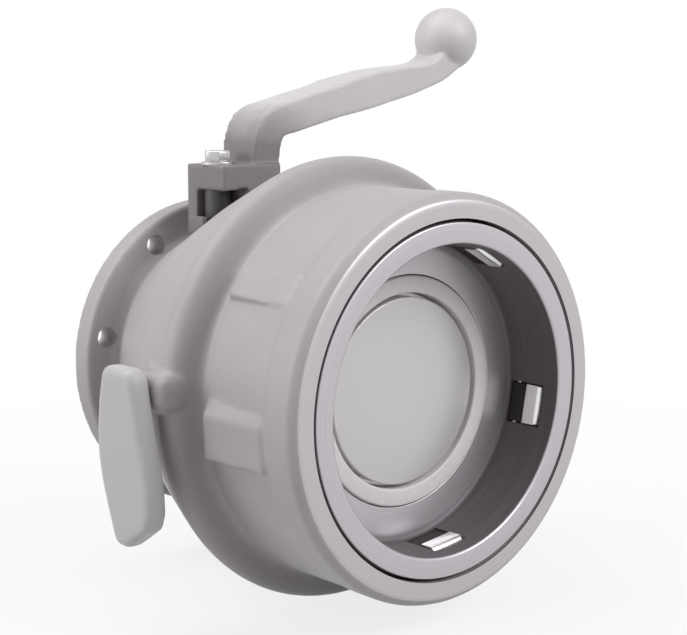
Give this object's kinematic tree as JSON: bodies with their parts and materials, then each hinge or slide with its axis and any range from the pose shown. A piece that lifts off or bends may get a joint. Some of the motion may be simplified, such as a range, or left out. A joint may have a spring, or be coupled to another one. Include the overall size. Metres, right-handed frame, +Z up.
{
  "type": "loading coupler",
  "caption": "Bottom-loading dry-break coupler: flanged cast body, latching mouth with fingers, nose seal and poppet, worked by a ball-ended lever.",
  "frame": {"origin": "centre of the rear flange's mating face, on the coupler's axis", "axes": "+X forward along the coupler's axis, out of the mouth; +Z up, along the lever's shaft; +Y along the closed lever, seen from behind on the left"},
  "size_m": [0.2, 0.2964, 0.3018],
  "materials": {
    "cast_aluminium": "satin, as cast and blasted",
    "drum_aluminium": "satin, lightly turned",
    "machined_aluminium": "satin, machined",
    "grip_aluminium": "smooth satin",
    "stainless": "turned, fine brushed",
    "bright_steel": "bright",
    "dark_steel": "machined",
    "bronze": "machined",
    "seal_rubber": "matte",
    "face_seal_polymer": "smooth satin"
  },
  "bodies": {
    "housing": {"main_body": "cast_aluminium", "coupling_housing": "drum_aluminium", "carrier_plate": "machined_aluminium", "latch_carrier": "machined_aluminium", "finger_pins": "bright_steel", "seat_ring": "stainless", "stem_guide": "dark_steel", "nose_spring": "bright_steel", "lower_bush": "bronze", "upper_bush": "bronze", "shaft_seals": "seal_rubber", "gland_nut": "bronze", "left_grip": "grip_aluminium", "right_grip": "grip_aluminium", "grip_studs": "bright_steel", "carrier_screws": "bright_steel", "housing_screws": "bright_steel", "housing_seal": "seal_rubber"},
    "lever": {"lever": "cast_aluminium", "lever_shaft": "bright_steel", "lever_washer": "bright_steel", "lever_bolt": "bright_steel", "crank": "dark_steel", "crank_dowel": "bright_steel", "crank_pin": "bright_steel"},
    "slide_block": {"slide_block": "bronze"},
    "poppet": {"crosshead": "dark_steel", "poppet_stem": "bright_steel", "poppet_nut": "bright_steel", "poppet_disc": "stainless", "poppet_seal": "seal_rubber"},
    "lock": {"lock_sleeve": "stainless", "push_rods": "bright_steel", "shift_yoke": "dark_steel"},
    "nose_seal": {"seal_carrier": "machined_aluminium", "face_seal": "face_seal_polymer"},
    "finger_1": {"latch_finger_1": "stainless"},
    "finger_2": {"latch_finger_2": "stainless"},
    "finger_3": {"latch_finger_3": "stainless"},
    "finger_4": {"latch_finger_4": "stainless"},
    "finger_5": {"latch_finger_5": "stainless"}
  },
  "joints": [
    {"name": "lever_swing", "type": "hinge", "parent": "housing", "child": "lever", "pos_m": [0.044, -0.021, 0.09], "axis": [0, 0, -1], "range_deg": [0, 90]},
    {"name": "block_pivot", "type": "hinge", "parent": "lever", "child": "slide_block", "pos_m": [0.02491, -0.00191, 0], "axis": [0, 0, -1], "range_deg": [-90.5, 0]},
    {"name": "poppet_slide", "type": "slide", "parent": "housing", "child": "poppet", "axis": [1, 0, 0], "range_m": [0, 0.03828]},
    {"name": "lock_slide", "type": "slide", "parent": "housing", "child": "lock", "axis": [1, 0, 0], "range_m": [0, 0.01212]},
    {"name": "nose_seal_float", "type": "slide", "parent": "housing", "child": "nose_seal", "axis": [1, 0, 0], "range_m": [-0.003, 0], "stiffness_N_per_m": 8000, "springref_m": 0.003},
    {"name": "finger_1_swing", "type": "hinge", "parent": "housing", "child": "finger_1", "pos_m": [0.1715, 0.03743, 0.06752], "axis": [0, 0.8746, -0.4848], "range_deg": [0, 13.45]},
    {"name": "finger_2_swing", "type": "hinge", "parent": "housing", "child": "finger_2", "pos_m": [0.1715, 0.07578, -0.01473], "axis": [0, -0.1908, -0.9816], "range_deg": [0, 13.45]},
    {"name": "finger_3_swing", "type": "hinge", "parent": "housing", "child": "finger_3", "pos_m": [0.1715, 0.00941, -0.07662], "axis": [0, -0.9925, -0.1219], "range_deg": [0, 13.45]},
    {"name": "finger_4_swing", "type": "hinge", "parent": "housing", "child": "finger_4", "pos_m": [0.1715, -0.06997, -0.03263], "axis": [0, -0.4226, 0.9063], "range_deg": [0, 13.45]},
    {"name": "finger_5_swing", "type": "hinge", "parent": "housing", "child": "finger_5", "pos_m": [0.1715, -0.05265, 0.05646], "axis": [0, 0.7314, 0.682], "range_deg": [0, 13.45]}
  ],
  "couplings": [
    {"joint": "block_pivot", "follows": "lever_swing", "ratio": -1},
    {"joint": "poppet_slide", "follows": "lever_swing", "m_per_rad": 0.024309},
    {"joint": "lock_slide", "follows": "lever_swing", "m_per_rad": 0.0076527},
    {"joint": "finger_1_swing", "follows": "lever_swing", "ratio": 0.14889},
    {"joint": "finger_2_swing", "follows": "lever_swing", "ratio": 0.14889},
    {"joint": "finger_3_swing", "follows": "lever_swing", "ratio": 0.14889},
    {"joint": "finger_4_swing", "follows": "lever_swing", "ratio": 0.14889},
    {"joint": "finger_5_swing", "follows": "lever_swing", "ratio": 0.14889}
  ]
}
